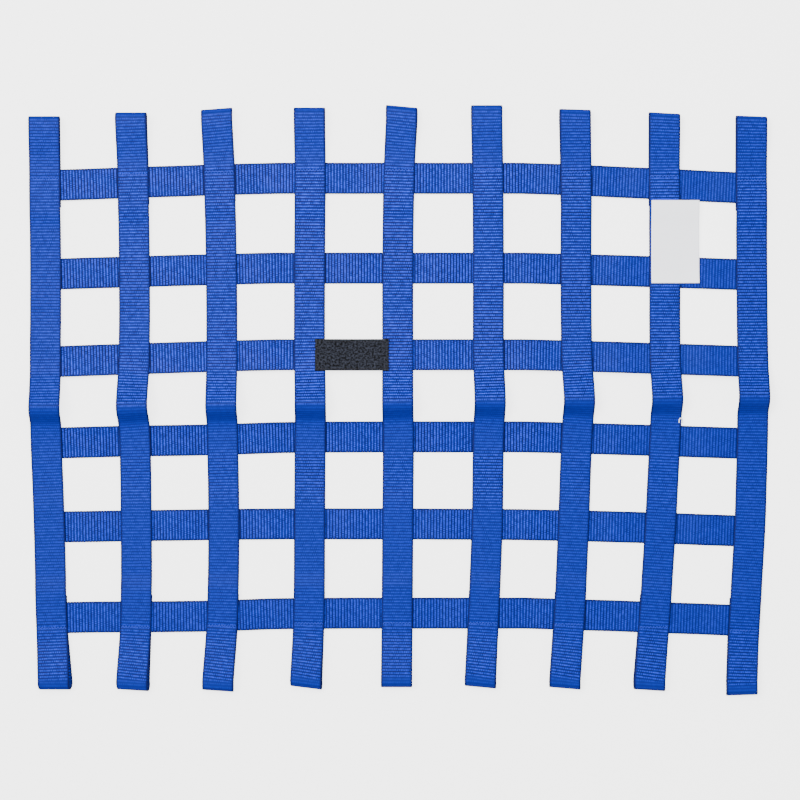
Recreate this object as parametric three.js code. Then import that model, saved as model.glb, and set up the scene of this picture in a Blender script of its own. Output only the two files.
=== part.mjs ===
// A racing window net of flat woven webbing, lying face up on the ground. Nine upright
// straps are sewn over six cross straps. Both ends of every upright strap fold back under
// the net into a flat loop for a rod. The crease of the folded net still stands up as a
// ridge across the middle.
//
// Millimetres. X runs across the net, Y up the net, and Z up from the ground. The origin
// is on the ground, at the middle of the net's outline.

import * as THREE from "three";

// The webbing
const WEB_WIDTH = 25.9;
const WEB_THICK = 1.4;
const SELVEDGE = 0.6; // the two faces stop this far short of the rounded edge
const PLY_GAP = 0.45;
const PLY = WEB_THICK + PLY_GAP;
const HALF_WIDTH = WEB_WIDTH / 2;

// The middle of the outline, seen from the point that the tables below count from
const OUTLINE_MIDDLE_X = -1.46;
const OUTLINE_MIDDLE_Y = 0.13;

// Where the upright straps' centre lines run: sections down the net, each with its Y and
// the X of the nine straps from left to right
const SECTIONS = [
  { place: "top", y: 230, x: [-292, -221, -150.5, -74.5, 1, 71, 143.5, 216.7, 288] },
  { place: "row 1", y: 182, x: [-292, -219.5, -148.5, -74, -1, 72, 144.5, 217, 288.5] },
  { place: "row 2", y: 109, x: [-291.5, -218.5, -147, -74.5, -2, 72.5, 144.5, 217.5, 289] },
  { place: "row 3", y: 38, x: [-291.5, -218.5, -146.5, -74.5, -2, 72.5, 145, 217.5, 289.5] },
  { place: "crest", y: -2, x: [-291, -219.5, -146.5, -73.5, -2, 73.5, 146.5, 218.5, 289.5] },
  { place: "row 4", y: -32, x: [-291, -218, -146, -74, -1.5, 72.5, 145, 217.5, 289.5] },
  { place: "row 5", y: -102, x: [-288.5, -217, -145, -74.5, -2, 71.5, 142.5, 214, 287.5] },
  { place: "row 6", y: -176, x: [-286.5, -217, -146, -75, -2.5, 68.5, 139, 209, 283] },
  { place: "bottom", y: -230, x: [-284.3, -220, -149.5, -77.5, -3, 65.5, 135, 204.5, 280.1] },
];
const STRAPS = SECTIONS[0].x.map((x, strap) => strap);

// How far up and down each strap's two loops reach. A skew is how much further the right
// corner of a fold reaches up the net than the left one. A slip is how far the ply behind
// has slid to the right of the ply in front at the fold.
const LOOPS = [
  { top: 233.5, topSkew: 0, topSlip: -0.6, bottom: -237.5, bottomSkew: 0, bottomSlip: 2 },
  { top: 236.5, topSkew: 0, topSlip: 0, bottom: -238, bottomSkew: -1.6, bottomSlip: 1.4 },
  { top: 239.5, topSkew: 2, topSlip: -0.5, bottom: -238.5, bottomSkew: -1.8, bottomSlip: -0.3 },
  { top: 240.5, topSkew: 0, topSlip: 0, bottom: -236, bottomSkew: -3.2, bottomSlip: 0.8 },
  { top: 241.5, topSkew: -2.4, topSlip: 0.6, bottom: -235.5, bottomSkew: 0, bottomSlip: 0 },
  { top: 242.5, topSkew: 0, topSlip: 0, bottom: -235.5, bottomSkew: -2.4, bottomSlip: 0.8 },
  { top: 239, topSkew: -0.8, topSlip: 0, bottom: -236.5, bottomSkew: -2.2, bottomSlip: 0.4 },
  { top: 236, topSkew: -1.4, topSlip: 0.4, bottom: -238, bottomSkew: -1.6, bottomSlip: 0 },
  { top: 233.5, topSkew: -1, topSlip: 0.6, bottom: -242, bottomSkew: 0.8, bottomSlip: 0.9 },
];
const LOOP_INNER_RADIUS = 3.3;
const LOOP_SHARES = [0.2, 0.4, 0.6, 0.8]; // where the front ply has rings on its way to the fold
const FOLD_STEPS = 6;
const TAIL_PAST_ROW = 5; // the tail ends this far past its row's inner edge

// Each cross strap: its middle's Y, how far its left and right ends have dropped, the X and
// depth of a shallow dip between, how many plies its upright straps are raised by, and how
// many faces it has across. The ridge bends the two rows beside it, so they have more.
const ROWS = [
  { middle: 182.6, leftDrop: 5.2, rightDrop: 7.3, dipX: 0, dip: 0, plies: 2, strips: 1 },
  { middle: 108.8, leftDrop: 4.4, rightDrop: 4.9, dipX: 0, dip: 0, plies: 1, strips: 1 },
  { middle: 37.5, leftDrop: 5.1, rightDrop: 5, dipX: 0, dip: 0, plies: 1, strips: 4 },
  { middle: -30, leftDrop: 4.6, rightDrop: 4.9, dipX: -150, dip: 1.1, plies: 1, strips: 6 },
  { middle: -101.6, leftDrop: 2.3, rightDrop: 5.4, dipX: 105, dip: 0.6, plies: 1, strips: 1 },
  { middle: -174.9, leftDrop: 3.4, rightDrop: 5.6, dipX: -165, dip: 1.4, plies: 2, strips: 1 },
];
const LEVEL_REACH = 100; // a row is straight this far to each side, then it curves down
const DROP_REACH = 267; // where leftDrop and rightDrop are measured
const DROP_POWER = 1.15;
const DIP_REACH = 65; // a dip fades out over this distance from its middle
const ROW_END_INSET = 1.5; // a row ends this far inside the outer straps' outer edges

// The ridge, as its height at distances up the net from its crest
const RIDGE = [
  { along: 100, height: 0 },
  { along: 60, height: 0.9 },
  { along: 30, height: 2.5 },
  { along: 14, height: 7.8 },
  { along: 4, height: 12 },
  { along: 0, height: 12.6 },
  { along: -4, height: 11 },
  { along: -8, height: 6.8 },
  { along: -12, height: 3 },
  { along: -17, height: 1.5 },
  { along: -26, height: 0.7 },
  { along: -38, height: 0.2 },
  { along: -50, height: 0 },
];
const CREST_Y = -2;
const CREST_TILT = 0.015; // the crest climbs this much for each millimetre to the right
const STEEP_REACH = 20; // the ridge is steep this far to each side of its crest

// How a strap eases down between the pieces that hold it up
const SAG = 0.6; // an upright strap's dip, halfway between two rows
const EASE_START = 2; // a strap keeps its height this far past the edge of what it lies on
const GAP_SHARES = [0.38, 0.5, 0.62]; // where an upright strap has rings between two rows

// The two labels, with their left, right, top and bottom edges
const BLACK_LABEL = { left: -70, right: -9.3, top: 50.4, bottom: 24.4, thick: 1, straps: [3, 4] };
const WHITE_LABEL = { left: 206.3, right: 245.5, top: 164.3, bottom: 96.3, thick: 1, strap: 7 };
const LABEL_GAP = 0.6; // the air under a label, above the straps that it is sewn to
const LABEL_DIP = 1.5; // how far the black label dips between the two straps under it
const LABEL_CURL = 1.6; // how far the white label's free corner has curled up
const LABEL_FLARE = 1.3; // how far its lower edge stands up besides
const FLARE_REACH = 9; // the flare starts this far above the lower edge

const BLUE = 0x2457c5;
const BLACK = 0x2b2d33;
const WHITE = 0xf2f3f7;

// A smooth curve through a list of places and values, with a cubic between each two. The
// slope at a place is that of the line between its neighbours.
function smoothThrough(places, values) {
  const last = places.length - 1;
  const slopeAt = (i) => {
    const before = Math.max(i - 1, 0);
    const after = Math.min(i + 1, last);
    return (values[after] - values[before]) / (places[after] - places[before]);
  };
  return (place) => {
    let i = 0;
    while (i < last - 1 && place > places[i + 1]) i += 1;
    const step = places[i + 1] - places[i];
    const t = THREE.MathUtils.clamp((place - places[i]) / step, 0, 1);
    const rise = values[i + 1] - values[i];
    const startBend = slopeAt(i) * step - rise;
    const endBend = rise - slopeAt(i + 1) * step;
    return values[i] + rise * t + t * (1 - t) * (startBend * (1 - t) + endBend * t);
  };
}

// Values that ease from one place to the next, level at each of them
function easeThrough(places, values) {
  const last = places.length - 1;
  return (place) => {
    let i = 0;
    while (i < last - 1 && place > places[i + 1]) i += 1;
    const t = THREE.MathUtils.smoothstep(place, places[i], places[i + 1]);
    return THREE.MathUtils.lerp(values[i], values[i + 1], t);
  };
}

const ridgeUp = [...RIDGE].reverse();
const ridgeProfile = smoothThrough(
  ridgeUp.map((point) => point.along),
  ridgeUp.map((point) => point.height),
);

// How far the ridge lifts whatever lies at a point of the net
function lift(x, y) {
  return Math.max(0, ridgeProfile(y - CREST_Y - CREST_TILT * x));
}

// The Y of a row's centre line: level in the middle and curving down towards both ends,
// less the bell shape of its dip
function rowY(row, x) {
  const beyond = Math.max(0, Math.abs(x) - LEVEL_REACH) / (DROP_REACH - LEVEL_REACH);
  const drop = x < 0 ? row.leftDrop : row.rightDrop;
  const dip = row.dip * Math.exp(-(((x - row.dipX) / DIP_REACH) ** 2));
  return row.middle - drop * beyond ** DROP_POWER - dip;
}

// The X of each upright strap's centre line, as a function of Y
const sectionsUp = [...SECTIONS].reverse();
const courses = STRAPS.map((strap) =>
  smoothThrough(
    sectionsUp.map((section) => section.y),
    sectionsUp.map((section) => section.x[strap]),
  ),
);

// Where each upright strap meets each row, with the rows from the bottom up
const crossings = courses.map((course) =>
  ROWS.map((row) => ({ y: rowY(row, course(row.middle)), row })).reverse(),
);

// The height of an upright strap's underside above the ridge's own lift. Over an inner
// row it is one ply, and over the first and last rows two, because the tail lies below.
function undersideAbove(strap) {
  const places = [];
  const heights = [];
  crossings[strap].forEach(({ y, row }, i) => {
    const height = row.plies * PLY;
    const reach = HALF_WIDTH + EASE_START + (row.plies > 1 ? TAIL_PAST_ROW : 0);
    if (i > 0) {
      places.push((crossings[strap][i - 1].y + y) / 2);
      heights.push((heights[heights.length - 1] + height) / 2 - SAG);
    }
    places.push(y - reach, y + reach);
    heights.push(height, height);
  });
  return easeThrough(places, heights);
}
const undersides = STRAPS.map(undersideAbove);

// The corners of a strap's section: how far across, and which share of the thickness.
// They go once round it, over the upper face and back under the lower one.
function sectionCorners(width, strips) {
  const face = width / 2 - SELVEDGE;
  const faceCorners = Array.from({ length: strips + 1 }, (_, i) => face * ((2 * i) / strips - 1));
  return [
    { across: -width / 2, share: 0.5 },
    ...faceCorners.map((across) => ({ across, share: 1 })),
    { across: width / 2, share: 0.5 },
    ...faceCorners.reverse().map((across) => ({ across, share: 0 })),
  ];
}

// A closed solid from rings of corners, with a band of faces between each two rings and
// a cap of strips over the first and the last
function closeRings(rings) {
  const corners = rings[0].length;
  const lastRing = (rings.length - 1) * corners;
  const triangles = [];
  for (let here = 0; here < lastRing; here += corners) {
    const there = here + corners;
    for (let i = 0; i < corners; i += 1) {
      const next = (i + 1) % corners;
      triangles.push(here + i, here + next, there + i);
      triangles.push(here + next, there + next, there + i);
    }
  }
  const right = corners / 2;
  const cap = [
    [0, 1, corners - 1],
    [right - 1, right, right + 1],
  ];
  for (let upper = 1; upper < right - 1; upper += 1) {
    const lower = corners - upper;
    cap.push([upper, upper + 1, lower - 1], [upper, lower - 1, lower]);
  }
  cap.forEach(([a, b, c]) => triangles.push(a, c, b, lastRing + a, lastRing + b, lastRing + c));
  const positions = rings.flat().flatMap((corner) => [corner.x, corner.y, corner.z]);
  const geometry = new THREE.BufferGeometry();
  geometry.setAttribute("position", new THREE.Float32BufferAttribute(positions, 3));
  geometry.setIndex(triangles);
  geometry.computeVertexNormals();
  return geometry;
}

// Where an upright strap has rings between its two loops, as their Y from the bottom up
function faceStations(strap) {
  const stations = [];
  crossings[strap].forEach(({ y, row }, i) => {
    const edge = HALF_WIDTH + EASE_START;
    stations.push(y - edge, y + edge, y - HALF_WIDTH, y + HALF_WIDTH);
    if (row.strips > 1) stations.push(y - HALF_WIDTH / 2, y, y + HALF_WIDTH / 2);
    if (i > 0) {
      const before = crossings[strap][i - 1].y;
      GAP_SHARES.forEach((share) => stations.push(THREE.MathUtils.lerp(before, y, share)));
    }
  });
  const crest = CREST_Y + CREST_TILT * courses[strap](CREST_Y);
  const steep = RIDGE.filter((point) => Math.abs(point.along) < STEEP_REACH);
  steep.forEach((point) => stations.push(crest + point.along));
  stations.sort((a, b) => a - b);
  return stations.filter((y, i) => i === 0 || y - stations[i - 1] > 1);
}

// One ring of an upright strap. The inner face is centred on the course at y, height z,
// and "out" is the direction of the thickness, as an angle from straight up towards the
// way the loop points.
function uprightRing(strap, { y, z, out, slip = 0, skew = 0 }, way) {
  const course = courses[strap];
  const lean = (course(y + 1) - course(y - 1)) / 2;
  const along = new THREE.Vector3(lean, 1, 0).normalize();
  const across = new THREE.Vector3(along.y, -along.x, 0);
  const thick = new THREE.Vector3(0, 0, Math.cos(out)).addScaledVector(along, way * Math.sin(out));
  const centre = new THREE.Vector3(course(y) + slip, y, z);
  return sectionCorners(WEB_WIDTH, 1).map((corner) =>
    centre
      .clone()
      .addScaledVector(across, corner.across)
      .addScaledVector(thick, corner.share * WEB_THICK)
      .addScaledVector(along, (skew * corner.across) / WEB_WIDTH),
  );
}

// The rings of one loop, from its row out to the fold and back to the end of the tail.
// way is 1 for a loop at the top of the net and -1 for one at the bottom.
function loopRings(strap, way) {
  const loop = LOOPS[strap];
  const end = way > 0 ? loop.top : loop.bottom;
  const skew = way > 0 ? loop.topSkew : loop.bottomSkew;
  const slip = way > 0 ? loop.topSlip : loop.bottomSlip;
  const rowEdge = crossings[strap].at(way > 0 ? -1 : 0).y + way * HALF_WIDTH;
  const turn = end - way * (WEB_THICK + LOOP_INNER_RADIUS);
  const top = WEB_THICK + 2 * LOOP_INNER_RADIUS;
  const start = 2 * PLY;
  const rise = top - start;
  const rings = [];
  const add = (ring) => rings.push(uprightRing(strap, ring, way));
  LOOP_SHARES.forEach((share) => {
    const slope = (rise * 6 * share * (1 - share)) / Math.abs(turn - rowEdge);
    add({
      y: THREE.MathUtils.lerp(rowEdge, turn, share),
      z: start + rise * THREE.MathUtils.smoothstep(share, 0, 1),
      out: -Math.atan(slope),
      skew: skew * share,
    });
  });
  for (let i = 0; i <= FOLD_STEPS; i += 1) {
    const angle = (Math.PI * i) / FOLD_STEPS;
    add({
      y: turn + way * LOOP_INNER_RADIUS * Math.sin(angle),
      z: WEB_THICK + LOOP_INNER_RADIUS * (1 + Math.cos(angle)),
      out: angle,
      skew,
      slip: slip * (i / FOLD_STEPS),
    });
  }
  const tailEnd = rowEdge - way * (WEB_WIDTH + TAIL_PAST_ROW);
  add({ y: (turn + rowEdge) / 2, z: WEB_THICK, out: Math.PI, slip: slip / 2, skew: skew / 2 });
  add({ y: rowEdge, z: WEB_THICK, out: Math.PI });
  add({ y: rowEdge - way * HALF_WIDTH, z: WEB_THICK, out: Math.PI });
  add({ y: tailEnd, z: WEB_THICK, out: Math.PI });
  return rings;
}

// An upright strap: the bottom tail and loop, the face over the rows, and the top loop
function uprightGeometry(strap) {
  const course = courses[strap];
  const underside = (y) => lift(course(y), y) + undersides[strap](y);
  const faceRings = faceStations(strap).map((y) => {
    const slope = underside(y + 0.5) - underside(y - 0.5);
    return uprightRing(strap, { y, z: underside(y), out: -Math.atan(slope) }, 1);
  });
  return closeRings([...loopRings(strap, -1).reverse(), ...faceRings, ...loopRings(strap, 1)]);
}

// A flat strip that lies over the net: rings at a list of X, with its centre line's Y and
// the height of its underside as functions
function stripGeometry({ stations, width, thick, strips, centreY, height }) {
  const rings = stations.map((x) => {
    const lean = (centreY(x + 1) - centreY(x - 1)) / 2;
    const along = new THREE.Vector2(1, lean).normalize();
    return sectionCorners(width, strips).map((corner) => {
      const cornerX = x + along.y * corner.across;
      const cornerY = centreY(x) - along.x * corner.across;
      return new THREE.Vector3(cornerX, cornerY, height(cornerX, cornerY) + corner.share * thick);
    });
  });
  return closeRings(rings);
}

// A cross strap. The first and last rise over the tails at each crossing, and touch the
// ground between them.
function crossGeometry(row) {
  const strapX = courses.map((course) => course(row.middle));
  const left = strapX[0] - HALF_WIDTH + ROW_END_INSET;
  const right = strapX.at(-1) + HALF_WIDTH - ROW_END_INSET;
  const places = [];
  const heights = [];
  strapX.forEach((x, i) => {
    if (i > 0) {
      places.push((strapX[i - 1] + x) / 2);
      heights.push(0);
    }
    places.push(x - HALF_WIDTH - EASE_START, x + HALF_WIDTH + EASE_START);
    heights.push(PLY, PLY);
  });
  const raised = row.plies > 1;
  const hump = easeThrough(places, heights);
  const bends = raised ? places : strapX;
  const inner = bends.flatMap((x, i) => (i > 0 ? [(bends[i - 1] + x) / 2, x] : [x]));
  return stripGeometry({
    stations: [left, ...inner.filter((x) => x > left + 1 && x < right - 1), right],
    width: WEB_WIDTH,
    thick: WEB_THICK,
    strips: row.strips,
    centreY: (x) => rowY(row, x),
    height: (x, y) => lift(x, y) + (raised ? hump(x) : 0),
  });
}

// Evenly spaced values from one limit to the other, both included
function spread(from, to, steps) {
  return Array.from({ length: steps + 1 }, (_, i) => THREE.MathUtils.lerp(from, to, i / steps));
}

// The black label bridges two upright straps, and dips between them
function blackLabelGeometry() {
  const { left, right, top, bottom, thick, straps } = BLACK_LABEL;
  const middle = (top + bottom) / 2;
  const gapLeft = courses[straps[0]](middle) + HALF_WIDTH + EASE_START / 2;
  const gapRight = courses[straps[1]](middle) - HALF_WIDTH - EASE_START / 2;
  const high = PLY + WEB_THICK + LABEL_GAP;
  const dip = easeThrough(
    [left, gapLeft, (gapLeft + gapRight) / 2, gapRight, right],
    [high, high, high - LABEL_DIP, high, high],
  );
  return stripGeometry({
    stations: spread(left, right, 10),
    width: top - bottom,
    thick,
    strips: 4,
    centreY: () => middle,
    height: (x, y) => lift(x, y) + dip(x),
  });
}

// The white label lies on one upright strap, and its right side stands out free
function whiteLabelGeometry() {
  const { left, right, top, bottom, thick, strap } = WHITE_LABEL;
  const middle = (top + bottom) / 2;
  const strapRight = courses[strap](middle) + HALF_WIDTH;
  const curl = (x, y) => {
    const out = THREE.MathUtils.clamp((x - strapRight) / (right - strapRight), 0, 1);
    const down = THREE.MathUtils.clamp((top - y) / (top - bottom), 0, 1);
    const flare = 1 - THREE.MathUtils.smoothstep(y, bottom, bottom + FLARE_REACH);
    return LABEL_CURL * out ** 1.5 * down ** 2 + LABEL_FLARE * flare;
  };
  return stripGeometry({
    stations: spread(left, right, 6),
    width: top - bottom,
    thick,
    strips: 12,
    centreY: () => middle,
    height: (x, y) => lift(x, y) + undersides[strap](y) + WEB_THICK + LABEL_GAP + curl(x, y),
  });
}

function piece(name, geometry, color, roughness) {
  const material = new THREE.MeshStandardMaterial({ color, roughness, metalness: 0 });
  const mesh = new THREE.Mesh(geometry, material);
  mesh.name = name;
  return mesh;
}

const net = new THREE.Group();
STRAPS.forEach((strap) => net.add(piece(`upright_${strap + 1}`, uprightGeometry(strap), BLUE, 0.7)));
ROWS.forEach((row, i) => net.add(piece(`cross_${i + 1}`, crossGeometry(row), BLUE, 0.7)));
net.add(piece("label_black", blackLabelGeometry(), BLACK, 0.85));
net.add(piece("label_white", whiteLabelGeometry(), WHITE, 0.5));
net.position.set(-OUTLINE_MIDDLE_X, -OUTLINE_MIDDLE_Y, 0);

const part = new THREE.Group();
part.add(net);
export default part;
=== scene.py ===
# %% [markdown]
# # A window net of ribbed webbing
# A window net closes the side window of a race car. This one is sewn from flat polyester
# webbing: nine upright straps over six cross straps, with a loop for a rod at both ends of
# every upright strap. It lies flat on the ground, and the crease of its packing still stands
# up across the middle.
#
# The net's plain solids are loaded first and never moved. This notebook makes the cloth that
# is seen in their place: each strap with its ribs, both labels, and the thread. All sizes
# are in metres. X runs across the net, Y up the net, and Z up from the ground.

import bpy
import numpy as np
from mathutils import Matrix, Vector


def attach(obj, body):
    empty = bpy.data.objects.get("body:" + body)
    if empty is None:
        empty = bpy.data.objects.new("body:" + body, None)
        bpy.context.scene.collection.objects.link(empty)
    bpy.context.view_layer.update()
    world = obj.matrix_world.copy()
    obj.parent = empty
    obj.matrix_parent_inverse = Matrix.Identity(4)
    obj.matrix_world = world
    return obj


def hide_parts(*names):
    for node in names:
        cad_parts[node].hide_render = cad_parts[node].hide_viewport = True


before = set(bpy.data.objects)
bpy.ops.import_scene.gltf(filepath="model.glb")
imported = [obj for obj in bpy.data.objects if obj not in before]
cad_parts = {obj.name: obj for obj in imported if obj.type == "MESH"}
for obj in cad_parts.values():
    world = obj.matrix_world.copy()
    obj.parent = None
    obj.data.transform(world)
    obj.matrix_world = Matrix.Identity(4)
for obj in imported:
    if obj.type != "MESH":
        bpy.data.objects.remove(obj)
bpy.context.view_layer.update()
MM = 0.001

# %% [markdown]
# ## The camera and the light
# The net is seen from straight above through a long lens, so that its straps hardly lean.
# A camera that isn't turned already looks down, with +Y up in the picture. How far up it
# goes follows from the width of ground that it sees.
#
# The light is soft: a white sky, a broad lamp far off at the top left, and one close above
# the net's upper half. The near one falls off down the net, so the bottom is a little darker.

# %% Camera
SEEN_WIDTH = 657.3 * MM  # from the straps, which are 25.9 mm wide and 31.5 pixels in 800
LENS_MM = 100
SENSOR_MM = 36
SEEN_HEIGHT = 3.5 * MM  # the height of the cloth that the width is measured at
CAMERA_X, CAMERA_Y = 1.29 * MM, 0.2 * MM

camera = bpy.data.objects.new("camera", bpy.data.cameras.new("camera"))
camera.data.lens = LENS_MM
camera.data.sensor_width = SENSOR_MM
camera.location = (CAMERA_X, CAMERA_Y, SEEN_HEIGHT + SEEN_WIDTH * LENS_MM / SENSOR_MM)
bpy.context.scene.collection.objects.link(camera)
bpy.context.scene.camera = camera
print(f"the camera is {camera.location.z:.2f} m up")


# %% Lamps
def add_lamp(name, place, size, power):
    """A square lamp of that size and power, turned to face the middle of the net."""
    lamp = bpy.data.lights.new(name, "AREA")
    lamp.shape, lamp.size, lamp.energy = "SQUARE", size, power
    holder = bpy.data.objects.new(name, lamp)
    holder.location = place
    holder.rotation_euler = (-Vector(place)).to_track_quat("-Z", "Y").to_euler()
    holder.visible_camera = False
    bpy.context.scene.collection.objects.link(holder)


add_lamp("lamp_top_left", place=(-3.2, 1.6, 6.0), size=2.6, power=260)
add_lamp("lamp_near_top", place=(-0.12, 0.38, 1.0), size=0.6, power=7.2)
WHITE = (1, 1, 1, 1)
SKY_STRENGTH = 0.65

world = bpy.data.worlds.new("studio")
world.use_nodes = True
world.node_tree.nodes["Background"].inputs["Color"].default_value = WHITE
world.node_tree.nodes["Background"].inputs["Strength"].default_value = SKY_STRENGTH
bpy.context.scene.world = world
print("two lamps and a white sky")


# %% [markdown]
# ## Materials
# A material starts from what the real thing is made of. Two small helpers are enough: one
# turns a colour from the screen's scale to the linear one that the shader works in, and one
# adds a node with its settings and links.


# %% Helpers for materials
def linear(colour):
    """Each channel of a hex colour, undone from the screen's curve: a straight part for the
    darkest values, and a power of 2.4 above them."""
    channels = np.array([int(colour[i : i + 2], 16) for i in (1, 3, 5)]) / 255
    bright = ((channels + 0.055) / 1.055) ** 2.4
    return (*np.where(channels > 0.04045, bright, channels / 12.92).tolist(), 1)


def add_node(tree, kind, inputs=None, **settings):
    """Adds a node, and gives each named input a value or the output of another node."""
    node = tree.nodes.new(kind)
    for name, value in settings.items():
        setattr(node, name, value)
    for name, value in (inputs or {}).items():
        if isinstance(value, bpy.types.NodeSocket):
            tree.links.new(value, node.inputs[name])
        else:
            node.inputs[name].default_value = value
    return node


def new_material(name):
    """A material with only its output node, and that node's tree."""
    made = bpy.data.materials.new(name)
    made.use_nodes = True
    tree = made.node_tree
    tree.nodes.remove(tree.nodes["Principled BSDF"])
    return made, tree, tree.nodes["Material Output"]


# %% [markdown]
# ### Polyester webbing
# Webbing is woven from thick polyester yarn. Its ribs are the weft, which runs across the strap,
# with short floats of the warp passing over them in a brick pattern. Each float is a small pillow
# with a painted highlight on its crown, and the gaps round it are painted dark as shade. The edges
# are woven tighter and look darker.
#
# A pillow is worked out as the product of two half sines: one along the strap for the rib, narrowed
# by a power, and one across it for the float. The same product gives the relief and the colour,
# with its painted shade in the gaps. Yarn doesn't lie evenly, so every few millimetres its floats
# part more or less, and the painted highlight on the crowns is brighter or dimmer in patches; two
# channels of one noise carry that.
#
# The pattern has to follow the cloth round its folds, so every strap carries its own map: how far
# across the strap a point is, how far along, and how far from a cut end. A second value says how
# far the ribs are flattened, and how much duller they are painted, with less highlight, where the
# light catches the cloth less.

# %% Webbing
RIB = 2.45 * MM  # one rib and the gap beside it, along the strap
FLOAT = 1.8 * MM  # one float of the warp, across the strap
WEB_WIDTH = 25.9 * MM
HALF_WIDTH = WEB_WIDTH / 2
FLAT_SHADED_HEIGHT = 0.4  # of a float, where the ribs are flattened and painted duller as far as they go
CROWN_POWER = 2.1  # how narrow the lit crown of a rib is
WANDER_SCALE = 260  # in a metre, which is one every 3.8 mm
WANDER = (0.5 * MM, 0.3 * MM, 0)
PATCH_SCALE = 300  # in a metre, which is one every 3.3 mm
FILAMENT_SCALE = 3200  # in a metre; the real filaments are ten times finer and wouldn't show
NOISE_RANGE = {"From Min": 0.35, "From Max": 0.65}  # where most of a noise's values lie


def half_sines(tree, count, power):
    """The absolute sine of pi times a count, raised to a power: one hump for each."""
    angle = add_node(tree, "ShaderNodeMath", {0: count, 1: np.pi}, operation="MULTIPLY")
    sine = add_node(tree, "ShaderNodeMath", {0: angle.outputs[0]}, operation="SINE")
    hump = add_node(tree, "ShaderNodeMath", {0: sine.outputs[0]}, operation="ABSOLUTE")
    shaped = add_node(tree, "ShaderNodeMath", {0: hump.outputs[0], 1: power}, operation="POWER")
    return shaped.outputs[0]


def webbing_floats(tree, woven, flat_and_shaded):
    """The height of the yarn, from 0 in a gap to 1 on a float: the crown of the rib times the
    pillow of the float, which counts for more where the floats have parted. Also how bright the
    painted highlight on the crowns is."""
    # No thread is quite straight: every point of the pattern wanders a little
    wander = add_node(
        tree, "ShaderNodeTexNoise", {"Vector": woven, "Scale": WANDER_SCALE, "Detail": 1}
    )
    place = add_node(
        tree,
        "ShaderNodeVectorMath",
        {0: wander.outputs["Color"], 1: WANDER, 2: woven},
        operation="MULTIPLY_ADD",
    )
    parts = add_node(tree, "ShaderNodeSeparateXYZ", {"Vector": place.outputs[0]})
    along, across = parts.outputs["Y"], parts.outputs["X"]
    rib_count = add_node(tree, "ShaderNodeMath", {0: along, 1: RIB}, operation="DIVIDE")
    rib_number = add_node(tree, "ShaderNodeMath", {0: rib_count.outputs[0]}, operation="FLOOR")
    float_width = add_node(tree, "ShaderNodeMath", {0: across, 1: FLOAT}, operation="DIVIDE")
    # Every second rib is shifted by half a float, as in a brick wall
    float_count = add_node(
        tree,
        "ShaderNodeMath",
        {0: rib_number.outputs[0], 1: 0.5, 2: float_width.outputs[0]},
        operation="MULTIPLY_ADD",
    )
    crown = half_sines(tree, rib_count.outputs[0], CROWN_POWER)
    pillow = half_sines(tree, float_count.outputs[0], 1)
    patches = add_node(
        tree, "ShaderNodeTexNoise", {"Vector": woven, "Scale": PATCH_SCALE, "Detail": 1}
    )
    channels = add_node(tree, "ShaderNodeSeparateColor", {"Color": patches.outputs["Color"]})
    closed = add_node(
        tree,
        "ShaderNodeMapRange",
        {"Value": channels.outputs["Red"], **NOISE_RANGE, "To Min": 0.95, "To Max": 0},
    )
    # Where the ribs are flattened, the painted highlight is dimmer
    brightest = add_node(
        tree, "ShaderNodeMath", {0: flat_and_shaded, 1: -0.6, 2: 1.28}, operation="MULTIPLY_ADD"
    )
    painted_shine = add_node(
        tree,
        "ShaderNodeMapRange",
        {
            "Value": channels.outputs["Green"],
            **NOISE_RANGE,
            "To Min": 0.75,
            "To Max": brightest.outputs[0],
        },
    )
    parted = add_node(
        tree, "ShaderNodeMapRange", {"Value": pillow, "To Min": closed.outputs["Result"]}
    )
    loose = add_node(
        tree, "ShaderNodeMath", {0: crown, 1: parted.outputs["Result"]}, operation="MULTIPLY"
    )
    # Where the ribs are flattened, the height, and with it the painted shade and highlight, tends
    # to one even value
    height = add_node(
        tree, "ShaderNodeMix", {"Factor": flat_and_shaded, "A": loose.outputs[0], "B": FLAT_SHADED_HEIGHT}
    )
    return height.outputs["Result"], painted_shine.outputs["Result"]


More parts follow.
